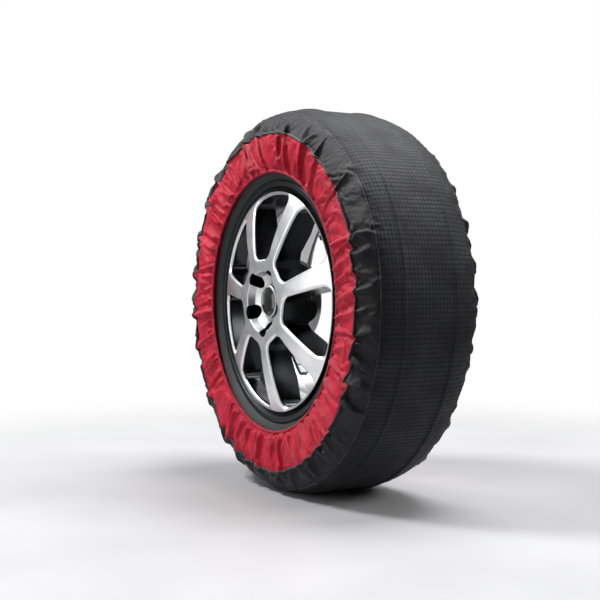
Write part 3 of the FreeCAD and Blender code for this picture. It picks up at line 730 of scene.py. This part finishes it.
dress(metal_material("turned_brass", srgb(176, 138, 72), srgb(206, 168, 96), 0.22, 300.0),
      "valve_stem_tube", "valve_core_body", "valve_core_pin")


def cord_cloth(name, dark, light):
    """Rubbered cords or covered elastic: fine ribs round the wheel."""
    paint = Paint(name, Sheen_Weight=0.1)
    ribs = paint.wave(paint.radius(), 0.0012)
    # The colour follows the ribs' relief, darker in the grooves between them: painted shade in the hollows.
    paint.colour(paint.ramp(ribs, dark, light))
    paint.rough(paint.ramp(ribs, 0.75, 0.6))
    paint.bump(ribs, 0.0002)
    return paint.material


dress(cord_cloth("ply_cords", srgb(110, 102, 92), srgb(140, 132, 120)), "tyre_carcass_ply")
dress(cord_cloth("covered_elastic", srgb(196, 192, 182), srgb(226, 222, 214)),
      "sock_outer_elastic_cord", "sock_inner_elastic_cord")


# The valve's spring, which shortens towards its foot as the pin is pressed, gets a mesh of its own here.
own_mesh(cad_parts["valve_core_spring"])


# ---------------------------------------------------------------- studio
GLOW_FROM = (-0.45, -0.20, 0.87)
FLOOR_RADIUS = 1.7
CAMERA_AZIMUTH_DEG = 59.2
CAMERA_ELEVATION_DEG = 1.04
CAMERA_DISTANCE = 2.087
CAMERA_LENS = 67.46
CAMERA_SHIFT = (-0.034, 0.002)


def stage_floor():
    """A plain pale floor under the wheel, which fades into the white surroundings."""
    columns, rows = 96, 12
    angles = np.arange(columns) * TURN / columns
    rings = [np.stack([r * np.cos(angles), r * np.sin(angles), FLOOR_Z + 0 * angles], axis=-1)
             for r in np.linspace(0.02, FLOOR_RADIUS, rows)]
    made = new_mesh("floor", np.array(rings), grid_faces(rows, columns))
    paint = Paint("floor_paint", Roughness=0.45)
    cloud = paint.noise(paint.place(), 3.0, 2.0)
    paint.colour(paint.ramp(cloud, srgb(172, 172, 174), srgb(180, 180, 182), 0.3, 0.7))
    x, y, _ = paint.split(paint.place())
    paint.put(paint.ramp(paint.length(x, y), 1.0, 0.0, 0.45, 1.6), paint.shader.inputs["Alpha"])
    made.data.materials.append(paint.material)


def softbox(name, place, aim, size, power):
    """A square soft light."""
    light = bpy.data.lights.new(name, "AREA")
    light.shape = "RECTANGLE"
    light.size, light.size_y = size
    light.energy = power
    made = bpy.data.objects.new(name, light)
    made.location = place
    made.rotation_euler = (Vector(aim) - Vector(place)).to_track_quat("-Z", "Y").to_euler()
    bpy.context.scene.collection.objects.link(made)


def studio_world():
    """White surroundings that light the wheel softly, mostly from above on the outboard side."""
    world = bpy.data.worlds.new("studio")
    world.use_nodes = True
    tree = world.node_tree
    seen = tree.nodes.new("ShaderNodeLightPath").outputs["Is Camera Ray"]
    toward = tree.nodes.new("ShaderNodeVectorMath")
    toward.operation = "DOT_PRODUCT"
    toward.inputs[1].default_value = GLOW_FROM
    tree.links.new(tree.nodes.new("ShaderNodeTexCoord").outputs["Generated"], toward.inputs[0])
    glow = tree.nodes.new("ShaderNodeMapRange")
    glow.inputs["From Min"].default_value = -0.1
    glow.inputs["To Min"].default_value = 0.03
    glow.inputs["To Max"].default_value = 0.32
    tree.links.new(toward.outputs["Value"], glow.inputs["Value"])
    power = tree.nodes.new("ShaderNodeMix")
    tree.links.new(seen, power.inputs[0])
    tree.links.new(glow.outputs["Result"], power.inputs[2])
    power.inputs[3].default_value = 1.0
    tree.links.new(power.outputs[0], tree.nodes["Background"].inputs["Strength"])
    tree.nodes["Background"].inputs["Color"].default_value = (1, 1, 1, 1)
    bpy.context.scene.world = world


def camera():
    """A camera at standing distance, at hub height, looking past the outboard side along the tread."""
    azimuth, elevation = math.radians(CAMERA_AZIMUTH_DEG), math.radians(CAMERA_ELEVATION_DEG)
    back = Vector((
        math.sin(azimuth) * math.cos(elevation),
        -math.cos(azimuth) * math.cos(elevation),
        math.sin(elevation),
    ))
    data = bpy.data.cameras.new("camera")
    data.lens = CAMERA_LENS
    data.sensor_width = 36.0
    data.shift_x, data.shift_y = CAMERA_SHIFT
    made = bpy.data.objects.new("camera", data)
    made.location = back * CAMERA_DISTANCE
    made.rotation_euler = (-back).to_track_quat("-Z", "Y").to_euler()
    bpy.context.scene.collection.objects.link(made)
    bpy.context.scene.camera = made


stage_floor()
studio_world()
softbox("key_light", (-0.9, -1.3, 2.0), (0, 0, 0.05), (0.6, 0.6), 80)
softbox("top_light", (0.1, 0.6, 2.1), (0, 0, 0.1), (1.3, 1.3), 80)
softbox("front_card", (-0.75, -2.3, 0.35), (0, 0, 0.0), (1.6, 1.9), 16)
softbox("back_card", (1.3, 1.15, 0.95), (0, 0, 0.05), (0.9, 0.7), 18)
softbox("right_card", (1.2, -2.1, 0.15), (0, 0, 0.0), (0.9, 1.2), 5)
camera()
bpy.context.scene.view_settings.view_transform = "Standard"
